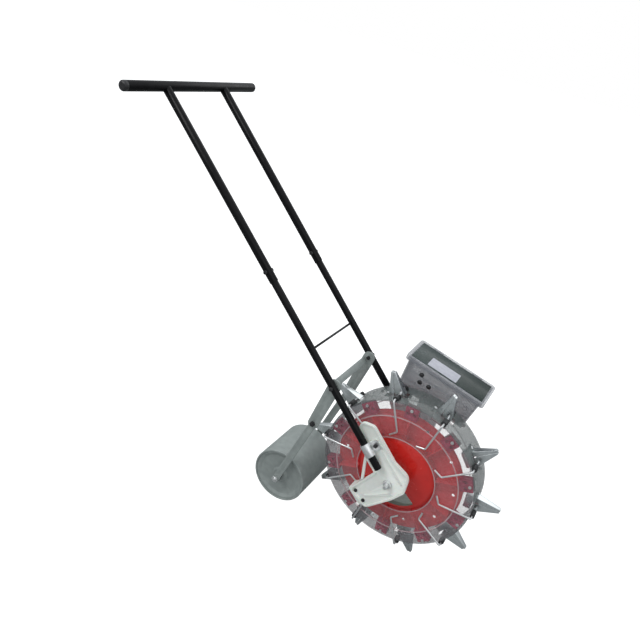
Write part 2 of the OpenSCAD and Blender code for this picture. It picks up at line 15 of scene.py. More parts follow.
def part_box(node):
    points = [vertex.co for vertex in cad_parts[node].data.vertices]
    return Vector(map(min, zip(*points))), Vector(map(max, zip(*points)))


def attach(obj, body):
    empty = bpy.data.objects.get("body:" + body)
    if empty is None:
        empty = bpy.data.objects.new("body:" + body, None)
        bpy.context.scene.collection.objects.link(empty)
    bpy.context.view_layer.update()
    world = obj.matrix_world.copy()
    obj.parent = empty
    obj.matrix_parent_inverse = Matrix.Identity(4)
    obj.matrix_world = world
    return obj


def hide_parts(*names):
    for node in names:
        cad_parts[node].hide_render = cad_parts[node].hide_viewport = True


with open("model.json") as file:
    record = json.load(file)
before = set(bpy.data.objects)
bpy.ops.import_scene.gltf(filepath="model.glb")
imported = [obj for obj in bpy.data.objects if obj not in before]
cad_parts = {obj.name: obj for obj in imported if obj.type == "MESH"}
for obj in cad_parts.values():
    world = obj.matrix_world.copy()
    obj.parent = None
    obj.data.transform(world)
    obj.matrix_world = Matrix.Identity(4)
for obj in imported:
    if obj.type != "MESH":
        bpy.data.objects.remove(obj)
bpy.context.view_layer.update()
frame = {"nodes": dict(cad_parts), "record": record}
MM = 0.001

# %% [markdown]
# The drum's axle is the natural centre of the machine, so most sizes are easiest to think about
# from there. The axle's own box gives its middle: half way along X and Z.

# %% Measure from the axle
axle_low, axle_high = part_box("axle")
AXLE = Vector(((axle_low.x + axle_high.x) / 2, 0, (axle_low.z + axle_high.z) / 2))
roller_low, roller_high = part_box("roller_shell")
ROLLER = (roller_low + roller_high) / 2
print("axle at", [round(v, 4) for v in AXLE], "roller at", [round(v, 4) for v in ROLLER])

# %% [markdown]
# ## Camera
# A camera is a place, a direction and a lens. Here it looks down over the near side of the drum
# from ahead, and it is rolled a little, because the machine rests on its press roller while the
# picture is composed with the handle steep.

# %% Place the camera
CAMERA_PLACE = Vector((0.520, -1.306, 1.268))
LOOKS_ALONG = Vector((-0.353, 0.819, -0.453))
RIGHT_HAND = Vector((0.843, 0.488, 0.226))
LENS_MM = 34.36

camera = bpy.data.objects.new("camera", bpy.data.cameras.new("camera"))
bpy.context.scene.collection.objects.link(camera)
ahead = LOOKS_ALONG.normalized()
side = (RIGHT_HAND - RIGHT_HAND.dot(ahead) * ahead).normalized()
turned = Matrix((side, side.cross(ahead), -ahead)).transposed().to_4x4()
camera.matrix_world = Matrix.Translation(CAMERA_PLACE) @ turned
camera.data.lens = LENS_MM
camera.data.clip_end = 60
bpy.context.scene.camera = camera
print("camera at", [round(v, 3) for v in camera.matrix_world.translation])

# %% [markdown]
# ## Floor and light
# Product pictures use a pale sweep and large soft lamps, so edges stay readable and shadows stay
# faint. A plane is enough for the sweep. It glows only for the camera: to the metal parts it is a
# mid grey, so that they keep their dark and bright sides. Three area lamps light the machine: a key
# from the upper left, a weaker fill from the right and a rim lamp behind that draws a bright line
# along the tubes. Larger lamps would flatten the metal, and point lamps would cut hard shadows.

# %% Lay the floor
bpy.ops.mesh.primitive_plane_add(size=60, location=(0, 0, 0))
floor = bpy.context.object
floor.name = "studio_floor"
floor_paint = bpy.data.materials.new("studio_floor")
floor_paint.use_nodes = True
sweep = floor_paint.node_tree.nodes["Principled BSDF"]
sweep.inputs["Base Color"].default_value = (0.30, 0.31, 0.31, 1)
sweep.inputs["Roughness"].default_value = 0.9
sweep.inputs["Specular IOR Level"].default_value = 0.1
sweep.inputs["Emission Color"].default_value = (1, 1, 1, 1)
seen = floor_paint.node_tree.nodes.new("ShaderNodeLightPath")
floor_paint.node_tree.links.new(seen.outputs["Is Camera Ray"], sweep.inputs["Emission Strength"])
floor.data.materials.append(floor_paint)


# %% Hang the lamps
def area_lamp(name, place, aim, size, power):
    """A square lamp at a place, turned to face a point."""
    lamp = bpy.data.objects.new(name, bpy.data.lights.new(name, "AREA"))
    lamp.data.shape = "SQUARE"
    lamp.data.size = size
    lamp.data.energy = power
    lamp.location = place
    lamp.rotation_euler = (Vector(aim) - Vector(place)).to_track_quat("-Z", "Y").to_euler()
    bpy.context.scene.collection.objects.link(lamp)


area_lamp("key_lamp", (-1.6, -2.2, 2.6), (0.1, 0, 0.4), 1.6, 34)
area_lamp("fill_lamp", (2.6, -1.6, 1.8), (0.2, 0, 0.3), 2.2, 9)
area_lamp("rim_lamp", (0.4, 2.4, 2.2), (0.2, 0, 0.4), 1.8, 9)


# %% [markdown]
# Shiny parts show the room around them, so the room needs a bright side and a dark side. A picture
# of a studio would do it too, but a height gradient is smaller and has no seams. The camera itself
# sees only the plain backdrop.


# %% Paint the room
def room(top, bottom, seen):
    """Light that is bright overhead and darker near the ground, behind a plain backdrop."""
    world = bpy.data.worlds.new("studio")
    world.use_nodes = True
    nodes, links = world.node_tree.nodes, world.node_tree.links
    light = nodes["Background"]
    backdrop = nodes.new("ShaderNodeBackground")
    backdrop.inputs["Color"].default_value = (*seen, 1)
    direction = nodes.new("ShaderNodeTexCoord")
    split = nodes.new("ShaderNodeSeparateXYZ")
    height = nodes.new("ShaderNodeMapRange")
    height.inputs["From Min"].default_value = -0.15
    height.inputs["From Max"].default_value = 0.7
    shade = nodes.new("ShaderNodeMix")
    shade.data_type = "RGBA"
    shade.inputs[6].default_value = (*bottom, 1)
    shade.inputs[7].default_value = (*top, 1)
    links.new(direction.outputs["Generated"], split.inputs[0])
    links.new(split.outputs["Z"], height.inputs["Value"])
    links.new(height.outputs["Result"], shade.inputs[0])
    links.new(shade.outputs[2], light.inputs["Color"])
    path = nodes.new("ShaderNodeLightPath")
    choose = nodes.new("ShaderNodeMixShader")
    links.new(path.outputs["Is Camera Ray"], choose.inputs[0])
    links.new(light.outputs[0], choose.inputs[1])
    links.new(backdrop.outputs[0], choose.inputs[2])
    links.new(choose.outputs[0], nodes["World Output"].inputs["Surface"])
    return world


bpy.context.scene.world = room((0.86, 0.89, 0.92), (0.20, 0.21, 0.22), (1, 1, 1))
bpy.context.scene.view_settings.view_transform = "Standard"

# %% [markdown]
# ## Surface effects
# Real finishes are never one flat colour. Two effects are shared by most of them, so each is built
# once as a node group. `mottle` gives a soft patchy mask at a chosen size. `grain` gives a fine
# bump that breaks up the highlights, as moulding, casting and paint all do.


# %% Build the shared node groups
def new_group(name, inputs, outputs):
    """An empty node group with float inputs and typed outputs."""
    group = bpy.data.node_groups.new(name, "ShaderNodeTree")
    for label, value in inputs:
        socket = group.interface.new_socket(label, in_out="INPUT", socket_type="NodeSocketFloat")
        socket.default_value = value
    for label, kind in outputs:
        group.interface.new_socket(label, in_out="OUTPUT", socket_type=kind)
    ends = group.nodes.new("NodeGroupInput"), group.nodes.new("NodeGroupOutput")
    return group, ends[0], ends[1]


def mottle_group():
    """Two sizes of noise multiplied into one soft mask, from 0 to 1."""
    group, start, end = new_group("mottle", [("Scale", 8), ("Contrast", 1)],
                                  [("Mask", "NodeSocketFloat")])
    nodes, links = group.nodes, group.links
    place = nodes.new("ShaderNodeTexCoord")
    broad = nodes.new("ShaderNodeTexNoise")
    fine = nodes.new("ShaderNodeTexNoise")
    broad.inputs["Detail"].default_value = 4
    fine.inputs["Detail"].default_value = 6
    bigger = nodes.new("ShaderNodeMath")
    bigger.operation = "MULTIPLY"
    bigger.inputs[1].default_value = 6.5
    links.new(start.outputs["Scale"], broad.inputs["Scale"])
    links.new(start.outputs["Scale"], bigger.inputs[0])
    links.new(bigger.outputs[0], fine.inputs["Scale"])
    for noise in (broad, fine):
        links.new(place.outputs["Object"], noise.inputs["Vector"])
    both = nodes.new("ShaderNodeMath")
    both.operation = "MULTIPLY"
    links.new(broad.outputs["Fac"], both.inputs[0])
    links.new(fine.outputs["Fac"], both.inputs[1])
    centred = nodes.new("ShaderNodeMath")
    centred.operation = "SUBTRACT"
    centred.inputs[1].default_value = 0.25
    links.new(both.outputs[0], centred.inputs[0])
    scaled = nodes.new("ShaderNodeMath")
    scaled.operation = "MULTIPLY"
    links.new(centred.outputs[0], scaled.inputs[0])
    links.new(start.outputs["Contrast"], scaled.inputs[1])
    lifted = nodes.new("ShaderNodeMath")
    lifted.operation = "MULTIPLY_ADD"
    lifted.use_clamp = True
    lifted.inputs[1].default_value = 4
    lifted.inputs[2].default_value = 0.5
    links.new(scaled.outputs[0], lifted.inputs[0])
    links.new(lifted.outputs[0], end.inputs["Mask"])
    return group


def grain_group():
    """A bump made of fine noise, with its depth and size set where it is used."""
    group, start, end = new_group("grain", [("Scale", 400), ("Depth", 0.1)],
                                  [("Normal", "NodeSocketVector")])
    nodes, links = group.nodes, group.links
    place = nodes.new("ShaderNodeTexCoord")
    noise = nodes.new("ShaderNodeTexNoise")
    noise.inputs["Detail"].default_value = 3
    bump = nodes.new("ShaderNodeBump")
    bump.inputs["Distance"].default_value = 0.0006
    links.new(place.outputs["Object"], noise.inputs["Vector"])
    links.new(start.outputs["Scale"], noise.inputs["Scale"])
    links.new(start.outputs["Depth"], bump.inputs["Strength"])
    links.new(noise.outputs["Fac"], bump.inputs["Height"])
    links.new(bump.outputs["Normal"], end.inputs["Normal"])
    return group


MOTTLE = mottle_group()
GRAIN = grain_group()
print("groups", [g.name for g in bpy.data.node_groups])

# %% [markdown]
# ## Finishes
# Every finish starts the same way: two close colours blended by the mottle mask, a roughness that
# wanders a little, and a grain bump. A helper lays that down, and each finish below adds what
# makes it itself.


# %% Helpers for finishes
def finish_base(name, dark, light, rough, mottle=(8, 1), grain=(400, 0.1), **sockets):
    """A material with mottled colour and roughness and a grain bump, and any extra shader sockets."""
    material = bpy.data.materials.new(name)
    material.use_nodes = True
    nodes, links = material.node_tree.nodes, material.node_tree.links
    shader = nodes["Principled BSDF"]
    mask = nodes.new("ShaderNodeGroup")
    mask.node_tree = MOTTLE
    mask.inputs["Scale"].default_value, mask.inputs["Contrast"].default_value = mottle
    blend = nodes.new("ShaderNodeMix")
    blend.data_type = "RGBA"
    blend.inputs[6].default_value = (*dark, 1)
    blend.inputs[7].default_value = (*light, 1)
    links.new(mask.outputs["Mask"], blend.inputs[0])
    links.new(blend.outputs[2], shader.inputs["Base Color"])
    wander = nodes.new("ShaderNodeMapRange")
    wander.inputs["To Min"].default_value, wander.inputs["To Max"].default_value = rough
    links.new(mask.outputs["Mask"], wander.inputs["Value"])
    links.new(wander.outputs["Result"], shader.inputs["Roughness"])
    bump = nodes.new("ShaderNodeGroup")
    bump.node_tree = GRAIN
    bump.inputs["Scale"].default_value, bump.inputs["Depth"].default_value = grain
    links.new(bump.outputs["Normal"], shader.inputs["Normal"])
    for socket, value in sockets.items():
        shader.inputs[socket.replace("_", " ")].default_value = value
    return material


def see_through(material, face_on, edge_on):
    """Lets a clear plastic show what is behind it, and less of it where the wall is seen edge on."""
    nodes, links = material.node_tree.nodes, material.node_tree.links
    facing = nodes.new("ShaderNodeLayerWeight")
    facing.inputs["Blend"].default_value = 0.22
    alpha = nodes.new("ShaderNodeMapRange")
    alpha.inputs["To Min"].default_value = face_on
    alpha.inputs["To Max"].default_value = edge_on
    links.new(facing.outputs["Facing"], alpha.inputs["Value"])
    links.new(alpha.outputs["Result"], nodes["Principled BSDF"].inputs["Alpha"])
    return material


# %% [markdown]
# The metals. Gloss black enamel covers the handle. The duckbills and levers are zinc coated: bright,
# with faint grey clouds where the zinc has dulled. The roller frame wears a satin grey-green paint.
# Bare metal gets a full Metallic value and paint gets none, because paint hides the metal under it.
# The blackened bolts are in between.

# %% Mix the metal and paint finishes
finish = {
    "black_enamel": finish_base("black_enamel", (0.0015, 0.0015, 0.002), (0.005, 0.005, 0.006),
                                (0.22, 0.40), (14, 1), (250, 0.12), Specular_IOR_Level=0.2),
    "zinc": finish_base("zinc", (0.80, 0.81, 0.81), (0.92, 0.92, 0.92), (0.30, 0.46),
                        (24, 0.7), (900, 0.10), Metallic=1.0),
    "galvanised": finish_base("galvanised", (0.66, 0.70, 0.71), (0.80, 0.83, 0.83), (0.24, 0.38),
                              (26, 0.8), (700, 0.12), Metallic=1.0),
    "grey_paint": finish_base("grey_paint", (0.255, 0.285, 0.275), (0.33, 0.365, 0.35), (0.42, 0.60),
                              (11, 1.1), (520, 0.22)),
    "dark_bolt": finish_base("dark_bolt", (0.03, 0.03, 0.032), (0.09, 0.09, 0.092), (0.35, 0.55),
                             (60, 1.2), (900, 0.15), Metallic=0.8),
}
print("metals and paints", sorted(finish))

# %% [markdown]
# The plastics. The drum's shell is clear but milky at its edges, so it reads pink over the red
# wheel. The hopper is the same idea in a smoky grey. Clear plastic is made with Alpha and not with
# glass, because thin walls do not bend the view and the parts inside have to stay lit.

# %% Mix the plastic finishes
finish["white_plastic"] = finish_base("white_plastic", (0.82, 0.86, 0.80), (0.90, 0.92, 0.87),
                                      (0.30, 0.44), (16, 1), (600, 0.14),
                                      Subsurface_Weight=0.08, Subsurface_Scale=0.004)
finish["black_plastic"] = finish_base("black_plastic", (0.010, 0.010, 0.011), (0.028, 0.028, 0.030),
                                      (0.36, 0.52), (40, 1), (900, 0.3))
finish["red_plastic"] = finish_base("red_plastic", (0.58, 0.014, 0.011), (0.70, 0.026, 0.018), (0.20, 0.32),
                                    (7, 0.6), (180, 0.08), Coat_Weight=0.5, Coat_Roughness=0.1)
finish["clear_plastic"] = see_through(
    finish_base("clear_plastic", (0.44, 0.42, 0.44), (0.56, 0.54, 0.56), (0.08, 0.18),
                (12, 0.8), (90, 0.10)), 0.06, 0.68)
finish["rim_plastic"] = see_through(
    finish_base("rim_plastic", (0.13, 0.15, 0.145), (0.20, 0.225, 0.22), (0.10, 0.20),
                (12, 0.8), (90, 0.10)), 0.42, 0.9)
finish["shoulder_plastic"] = see_through(
    finish_base("shoulder_plastic", (0.30, 0.29, 0.31), (0.46, 0.43, 0.46), (0.08, 0.18),
                (16, 1.2), (60, 0.25)), 0.13, 0.66)
# The beads on the covers' step and lip get a pale pink, half-clear finish. Its pale colour is a painted
# highlight.
finish["painted_highlight_bead"] = see_through(
    finish_base("painted_highlight_bead", (0.80, 0.60, 0.62), (0.92, 0.74, 0.76), (0.14, 0.26),
                (10, 1), (90, 0.10)), 0.30, 0.75)
# The seed cells get a lighter, pinker copy of the red plastic. The extra lightness is painted light that
# makes up for the shade the clear cover casts on them.
finish["cell_red"] = finish_base("cell_red", (0.66, 0.030, 0.036), (0.86, 0.055, 0.065), (0.20, 0.34),
                                 (9, 1), (180, 0.08), Coat_Weight=0.4, Coat_Roughness=0.1)
finish["smoke_plastic"] = see_through(
    finish_base("smoke_plastic", (0.25, 0.26, 0.29), (0.33, 0.34, 0.37), (0.14, 0.28),
                (10, 0.8), (140, 0.10)), 0.40, 0.9)
finish["window_plastic"] = see_through(
    finish_base("window_plastic", (0.16, 0.20, 0.165), (0.22, 0.26, 0.22), (0.14, 0.26),
                (20, 0.8), (200, 0.10)), 0.70, 0.92)
finish["lid_tint"] = see_through(
    finish_base("lid_tint", (0.012, 0.030, 0.026), (0.050, 0.070, 0.068), (0.16, 0.28),
                (6, 1.4), (120, 0.08), Specular_IOR_Level=0.3), 0.88, 0.97)
finish["label_film"] = finish_base("label_film", (0.36, 0.37, 0.43), (0.50, 0.51, 0.56),
                                   (0.30, 0.45), (14, 1), (200, 0.1))
finish["gate_red"] = finish_base("gate_red", (0.46, 0.008, 0.055), (0.62, 0.020, 0.10), (0.18, 0.30),
                                 (16, 1), (220, 0.1), Coat_Weight=0.6, Coat_Roughness=0.08)
print("plastics mixed, finishes so far", len(finish))

# %% [markdown]
# The material colours the tinted panel in the hopper's lid darker and greener towards the front of the
# machine. A second mix, driven by the place along X, turns its colour into the deeper one. Two panels in
# two colours would show a hard line between them.


# %% Deepen the lid's tint
def deepen_along(material, start, end, colour):
    """Blends a material's colour into a deeper one between two places along X."""
    nodes, links = material.node_tree.nodes, material.node_tree.links
    base = nodes["Principled BSDF"].inputs["Base Color"]
    place = nodes.new("ShaderNodeTexCoord")
    split = nodes.new("ShaderNodeSeparateXYZ")
    along = nodes.new("ShaderNodeMapRange")
    along.inputs["From Min"].default_value = start
    along.inputs["From Max"].default_value = end
    deepen = nodes.new("ShaderNodeMix")
    deepen.data_type = "RGBA"
    deepen.inputs[7].default_value = (*colour, 1)
    links.new(place.outputs["Object"], split.inputs[0])
    links.new(split.outputs["X"], along.inputs["Value"])
    links.new(along.outputs["Result"], deepen.inputs[0])
    links.new(base.links[0].from_socket, deepen.inputs[6])
    links.new(deepen.outputs[2], base)


deepen_along(finish["lid_tint"], AXLE.x + 5 * MM, AXLE.x + 75 * MM, (0.006, 0.020, 0.016))
print("lid tint deepened")

# %% [markdown]
# Every engineering part gets its finish now, so nothing is left plain. The record says which
# material slot each part has, and the finishes carry the same names.

# %% Paint the engineering parts
for subpart in frame["record"]["subparts"]:
    node = frame["nodes"][subpart["node"]]
    node.data.materials.clear()
    node.data.materials.append(finish[subpart["material_slot"]])
print("finishes", sorted(finish))

# %% [markdown]
# ## Ways of making a piece
# Everything below is modelled in millimetres about the middle of the axle, because those are the
# numbers on a drawing. `settle` then shrinks a piece to metres, moves it to the axle's place and
# leaves the object itself at the origin. A piece that belongs to a duckbill is drawn pointing
# straight up and is turned to its own place round the drum.

# %% Settle a finished piece on the frame
FIRST_BILL = 85.4  # turn from straight up to the leading duckbill
PITCH = 36


def only(*objects):
    """Selects just these objects, the first one active."""
    bpy.ops.object.select_all(action="DESELECT")
    for item in objects:
        item.select_set(True)
    bpy.context.view_layer.objects.active = objects[0]


def pull(x, y, z):
    """Extrudes whatever is selected in edit mode."""
    bpy.ops.mesh.extrude_region_move(TRANSFORM_OT_translate={"value": (x, y, z)})


def choose(piece, kind, test):
    """Selects the faces, edges or points of a piece that pass a test and opens edit mode on them."""
    only(piece)
    bpy.ops.object.mode_set(mode="EDIT")
    bpy.ops.mesh.select_mode(type=kind)
    bpy.ops.mesh.select_all(action="DESELECT")
    bpy.ops.object.mode_set(mode="OBJECT")
    parts = {"FACE": piece.data.polygons, "EDGE": piece.data.edges, "VERT": piece.data.vertices}[kind]
    for part in parts:
        part.select = test(part)
    bpy.ops.object.mode_set(mode="EDIT")


def soften(piece, width, segments=3, angle=30):
    """Rounds the sharp edges of a piece and smooths its curved faces."""
    only(piece)
    if width:
        bevel = piece.modifiers.new("soft_edges", "BEVEL")
        bevel.width = width
        bevel.segments = segments
        bevel.limit_method = "ANGLE"
        bevel.angle_limit = radians(angle)
        bevel.use_clamp_overlap = True
        bpy.ops.object.modifier_apply(modifier="soft_edges")
    bpy.ops.object.shade_smooth_by_angle(angle=radians(32))
    return piece


def settle(piece, look, body, nodes=(), turn=None):
    """Gives a piece its finish and its place, hangs it on the body it rides on and hides the engineering
    parts it stands for.
    """
    only(piece)
    place = Matrix.Translation(AXLE) @ Matrix.Scale(MM, 4)
    if turn is not None:
        place = place @ Matrix.Rotation(radians(turn), 4, "Y")
    piece.matrix_world = place @ piece.matrix_world
    bpy.ops.object.transform_apply(location=True, rotation=True, scale=True)
    piece.data.materials.clear()
    piece.data.materials.append(finish[look])
    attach(piece, body)
    if nodes:
        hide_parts(*nodes)
    return piece


# %% [markdown]
# Three recipes cover most of the machine. `lathe` draws an outline in radius and Y, one corner at a
# time, and spins it round the axle. `plate` draws an outline in X and Z and extrudes it along Y.
# `rod` runs a round section along a path and spins it through a real bend at every corner.
# Edit mode remembers whether points, edges or faces were last picked. A single point can only be
# drawn out in point mode, so `outline_of` sets that mode itself.


# %% Recipes for turned, flat and bent parts
def outline_of(name, corners):
    """A closed loop of edges through the corners, left in edit mode and all selected."""
    bpy.ops.object.select_all(action="DESELECT")
    bpy.ops.mesh.primitive_plane_add(size=1, location=corners[0])
    loop = bpy.context.object
    loop.name = name
    bpy.ops.object.transform_apply(location=True)
    bpy.ops.object.mode_set(mode="EDIT")
    bpy.ops.mesh.select_mode(type="VERT")
    bpy.ops.mesh.select_all(action="SELECT")
    bpy.ops.mesh.merge(type="CENTER")
    for before, here in zip(corners, list(corners[1:]) + [corners[0]]):
        pull(*(Vector(here) - Vector(before)))
    bpy.ops.mesh.select_all(action="SELECT")
    bpy.ops.mesh.remove_doubles(threshold=0.001)
    return loop


def closed(piece):
    """Merges doubled points, turns every face outwards and leaves edit mode."""
    bpy.ops.mesh.select_all(action="SELECT")
    bpy.ops.mesh.remove_doubles(threshold=0.002)
    bpy.ops.mesh.normals_make_consistent(inside=False)
    bpy.ops.object.mode_set(mode="OBJECT")
    return piece


def lathe(name, outline, steps=96, at=(0, 0)):
    """A solid turned about a line along Y, from corners of (radius, y)."""
    piece = outline_of(name, [(at[0] + r, y, at[1]) for r, y in outline])
    bpy.ops.mesh.spin(steps=steps, angle=2 * pi, center=(at[0], 0, at[1]), axis=(0, 1, 0))
    return closed(piece)


def plate(name, outline, y0, y1):
    """A flat part with its outline in X and Z, from y0 to y1."""
    piece = outline_of(name, [(x, y0, z) for x, z in outline])
    bpy.ops.mesh.edge_face_add()
    pull(0, y1 - y0, 0)
    return closed(piece)


def rod(name, radius, path, bend, sides=16):
    """A round rod along a path, with a bend of the given radius at each corner."""
    path = [Vector(p) for p in path]
    way = (path[1] - path[0]).normalized()
    bpy.ops.object.select_all(action="DESELECT")
    bpy.ops.mesh.primitive_circle_add(vertices=sides, radius=radius, fill_type="NGON", location=path[0],
                                      rotation=way.to_track_quat("Z", "Y").to_euler())
    piece = bpy.context.object
    piece.name = name
    bpy.ops.object.transform_apply(location=True, rotation=True)
    bpy.ops.object.mode_set(mode="EDIT")
    bpy.ops.mesh.select_all(action="SELECT")
    at = path[0]
    for here, after in zip(path[1:-1], path[2:]):
        way, onward = (here - at).normalized(), (after - here).normalized()
        cut = bend * tan(way.angle(onward) / 2)
        pull(*(here - way * cut - at))
        inward = (onward - way.dot(onward) * way).normalized()
        bpy.ops.mesh.spin(steps=7, angle=-way.angle(onward), center=here - way * cut + inward * bend,
                          axis=way.cross(onward).normalized())
        at = here + onward * cut
    pull(*(path[-1] - at))
    return closed(piece)


def upright(piece):
    """A test for edges that run straight up."""
    def test(edge):
        a, b = (piece.data.vertices[i].co for i in edge.vertices)
        return abs(a.z - b.z) > 1 and (a.xy - b.xy).length < 0.01
    return test


def block(name, size, centre, corner=0):
    """A box with its upright edges rounded."""
    bpy.ops.object.select_all(action="DESELECT")
    bpy.ops.mesh.primitive_cube_add(size=1, location=centre, scale=size)
    piece = bpy.context.object
    piece.name = name
    bpy.ops.object.transform_apply(location=True, rotation=True, scale=True)
    if corner:
        choose(piece, "EDGE", upright(piece))
        bpy.ops.mesh.bevel(offset=corner, segments=6, affect="EDGES")
        bpy.ops.object.mode_set(mode="OBJECT")
    return piece


def rounded(corners, radius, steps=5):
    """The same outline with an arc at each corner."""
    out, count = [], len(corners)
    for i in range(count):
        a, b, c = (Vector(corners[(i + j) % count]) for j in (-1, 0, 1))
        u, v = (a - b).normalized(), (c - b).normalized()
        half = u.angle(v) / 2
        r = min(radius, 0.45 * min((a - b).length, (c - b).length) * tan(half))
        middle = b + (u + v).normalized() * r / sin(half)
        start, end = b + u * r / tan(half) - middle, b + v * r / tan(half) - middle
        for s in range(steps + 1):
            lean = start.lerp(end, s / steps).normalized() * r
            out.append(tuple(middle + lean))
    return out


print("recipes ready")

# %% [markdown]
# Simple hard parts such as nuts and straps already have their final form in the engineering model.
# `eased` copies one, joins its loose corners, clears the triangles off its flat faces and rounds
# its edges by a fraction of a millimetre, as tumbling, paint or a mould would.


# %% Recipe for easing an engineering shape
def eased(node, body, width, look=None, segments=2, angle=34):
    """A copy of an engineering node with its edges rounded, standing in for that node."""
    source = frame["nodes"][node]
    piece = source.copy()
    piece.data = source.data.copy()
    piece.parent = None
    piece.matrix_world = source.matrix_world.copy()
    piece.name = node + "_eased"
    bpy.context.scene.collection.objects.link(piece)
    only(piece)
    bpy.ops.object.transform_apply(location=True, rotation=True, scale=True)
    bpy.ops.object.mode_set(mode="EDIT")
    bpy.ops.mesh.select_all(action="SELECT")
    bpy.ops.mesh.remove_doubles(threshold=2e-6)
    bpy.ops.mesh.dissolve_limited(angle_limit=radians(1.0))
    bpy.ops.object.mode_set(mode="OBJECT")
    soften(piece, width * MM, segments, angle)
    slot = SLOT[node]
    piece.data.materials.clear()
    piece.data.materials.append(finish[look or slot])
    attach(piece, body)
    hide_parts(node)
    return piece


SLOT = {part["node"]: part["material_slot"] for part in frame["record"]["subparts"]}
BODY = {node: body for body, nodes in frame["record"]["behaviour"]["bodies"].items() for node in nodes}
LOOK = {"gate_blocks": "gate_red", "drum_band": "rim_plastic", "seed_cells": "cell_red"}
EASE = {
    "near_bracket": 1.0, "far_bracket": 1.0, "trip_cam": 1.2, "axle": 0.6, "axle_nuts": 0.8,
    "handle_clamps": 0.7, "frame_bolts": 0.5, "roller_crossbar": 0.6, "side_plates": 0.6,
    "near_roller_arm": 0.6, "far_roller_arm": 0.6, "roller_axle": 0.6, "roller_nuts": 0.7,
    "roller_bushes": 0.6, "hopper_stay": 0.6, "seed_chute": 0.5, "hinge_pin": 0.4,
    "gate_blocks": 0.9, "drum_screws": 0.4, "inspection_window": 0.15, "tie_rod": 0.3,
    "bar_end_caps": 0.4, "handlebar": 0.3, "near_upper_tube": 0.3, "far_upper_tube": 0.3,
    "near_lower_tube": 0.3, "far_lower_tube": 0.3, "hopper_body": 0.8, "seed_wheel": 0.4,
    "seed_cells": 0.3, "drum_band": 0.4, "wheel_hub": 0.8, "bearings": 0.4,
}
for node, width in EASE.items():
    eased(node, BODY[node], width, LOOK.get(node))
print("eased", len(EASE), "parts")

# %% [markdown]
# ## The clear shell
# The drum's two covers are thin clear mouldings. Each one steps outwards inside the rim, runs flat towards
# the middle and turns inwards in a lip. The lathe draws that section once per cover. The mould leaves the
# plastic cloudier on the shoulder, so the faces out there get their own finish. A round bead runs along the
# step and another along the lip. Their pale pink colour is a painted highlight for the long bright arcs
# there, and their round section also catches the lamps.

# %% Turn the covers
RIM, RIM_HALF, STEP, FLAT = 206, 44, 168, 52
COVER_STEPS = 144
for name, side_sign, hole in (("near_cover", -1, 106), ("far_cover", 1, 86)):
    section = [(RIM, RIM_HALF), (RIM, RIM_HALF + 2), (STEP + 2, RIM_HALF + 2), (STEP - 2, FLAT),
               (hole, FLAT), (hole, FLAT - 5), (hole + 2, FLAT - 5), (hole + 2, FLAT - 2),
               (STEP - 3.2, FLAT - 2), (STEP + 0.8, RIM_HALF)]
    cover = lathe(name + "_turned", [(r, side_sign * y) for r, y in section], COVER_STEPS)
    soften(cover, 0.55, 3, 25)
    settle(cover, "clear_plastic", "seed_drum", [name])
    cover.data.materials.append(finish["shoulder_plastic"])
    for face in cover.data.polygons:
        from_axle = hypot(face.center.x - AXLE.x, face.center.z - AXLE.z)
        face.material_index = int(from_axle > (STEP - 1) * MM)
    # One pale pink bead on the step and one on the lip: painted highlights for the bright arcs there.
    for radius, y, thick in ((STEP - 1.5, FLAT - 0.7, 1.5), (hole + 1, FLAT - 0.6, 1.3)):
        turns = [a * pi / 6 for a in range(12)]
        ring = [(radius + thick * cos(a), side_sign * (y + thick * sin(a))) for a in turns]
        bead = lathe("painted_highlight_ring", ring, COVER_STEPS)
        bpy.context.view_layer.objects.active = bead
        settle(soften(bead, 0), "painted_highlight_bead", "seed_drum")
    print(name, "faces", len(cover.data.polygons))

# %% [markdown]
# ## Duckbills
# A duckbill is two folded sheets. Each is drawn in side view and extruded to its width. Then the
# faces that stay open are deleted, and Solidify gives the sheet its thickness inwards. The back
# half reaches through the rim as a funnel and carries a tab for its screw. The front half swings
# on a bent wire, which turns in two black blocks.


# %% Fold a sheet
HALF_WIDTH, TIP_HALF = 12, 5.5
TIP_ZONE = 250  # points further out than this belong to the tip
SHEET = 1.8


def folded(name, outline, is_open):
    """Sheet folded round an outline and narrowed at its tip, with its open faces left out."""
    piece = plate(name, outline, -HALF_WIDTH, HALF_WIDTH)
    choose(piece, "VERT", lambda point: point.co.z > TIP_ZONE)
    bpy.ops.transform.resize(value=(1, TIP_HALF / HALF_WIDTH, 1))
    bpy.ops.object.mode_set(mode="OBJECT")
    choose(piece, "FACE", is_open)
    bpy.ops.mesh.delete(type="FACE")
    bpy.ops.mesh.select_mode(type="VERT")
    bpy.ops.object.mode_set(mode="OBJECT")
    sheet = piece.modifiers.new("sheet", "SOLIDIFY")
    sheet.thickness = SHEET
    sheet.offset = -1
    sheet.use_even_offset = True
    bpy.ops.object.modifier_apply(modifier="sheet")
    return soften(piece, 0.6, 3, 35)


# %% [markdown]
# The outlines are drawn for a duckbill that points straight up. The two halves meet just beside the
# middle line, the wire turns at the pin, and its lower end is bent into the hook that the cam trips.

